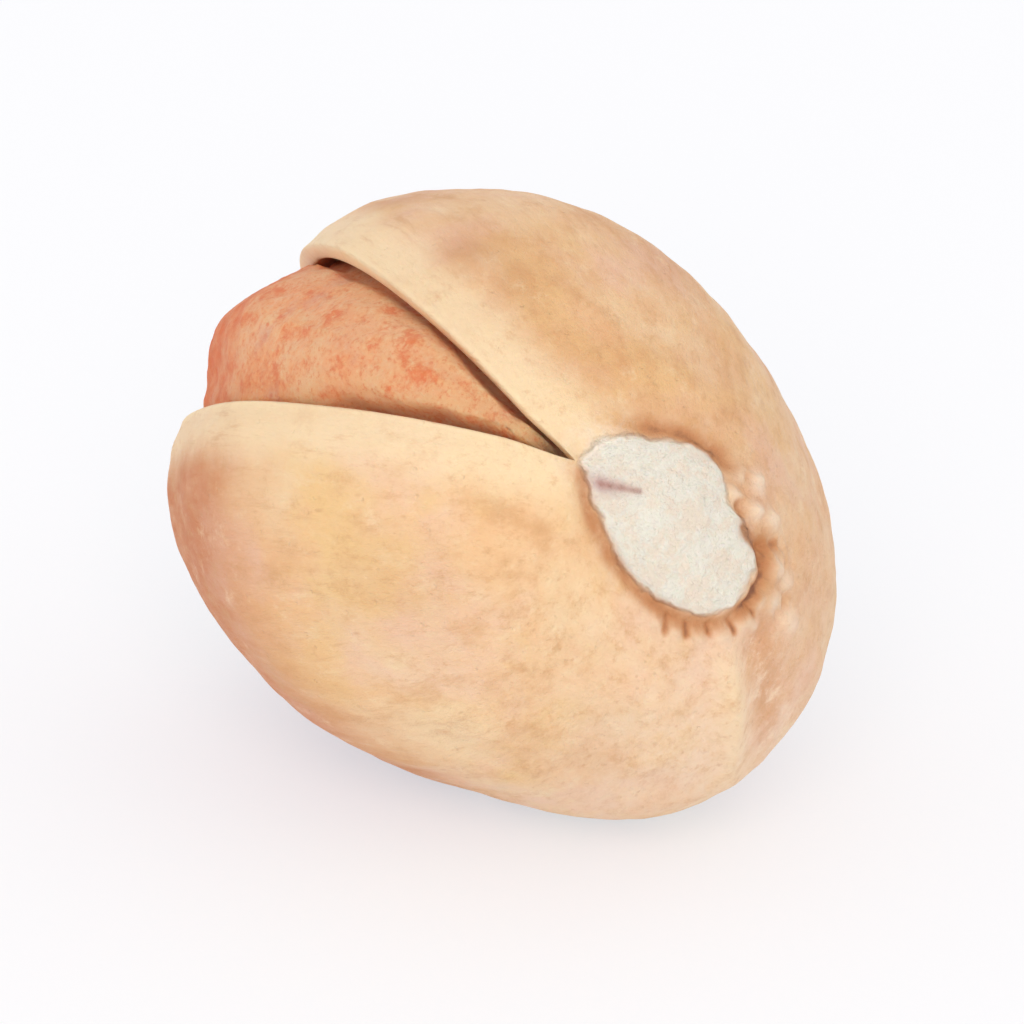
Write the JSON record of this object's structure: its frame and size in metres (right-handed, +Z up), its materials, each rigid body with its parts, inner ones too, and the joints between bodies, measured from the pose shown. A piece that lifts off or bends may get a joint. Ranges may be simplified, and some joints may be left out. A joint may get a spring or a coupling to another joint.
{
  "type": "pistachio in shell",
  "caption": "Whole pistachio in its hard shell, gaping along its suture so that the kernel shows, lying on a small flat spot.",
  "frame": {"origin": "middle of the nut's box at its underside, on the surface that it rests on", "axes": "+X towards the stem end and -X towards the tip, +Z up; the split looks up and towards -Y, the back down and towards +Y"},
  "size_m": [0.0172, 0.0126, 0.0128],
  "materials": {
    "shell": "smooth hard nut shell, satin, cream to tan",
    "kernel": "matt, finely wrinkled seed skin, salmon to purple-brown"
  },
  "bodies": {
    "root": {"shell": "shell", "kernel": "kernel"}
  },
  "joints": []
}
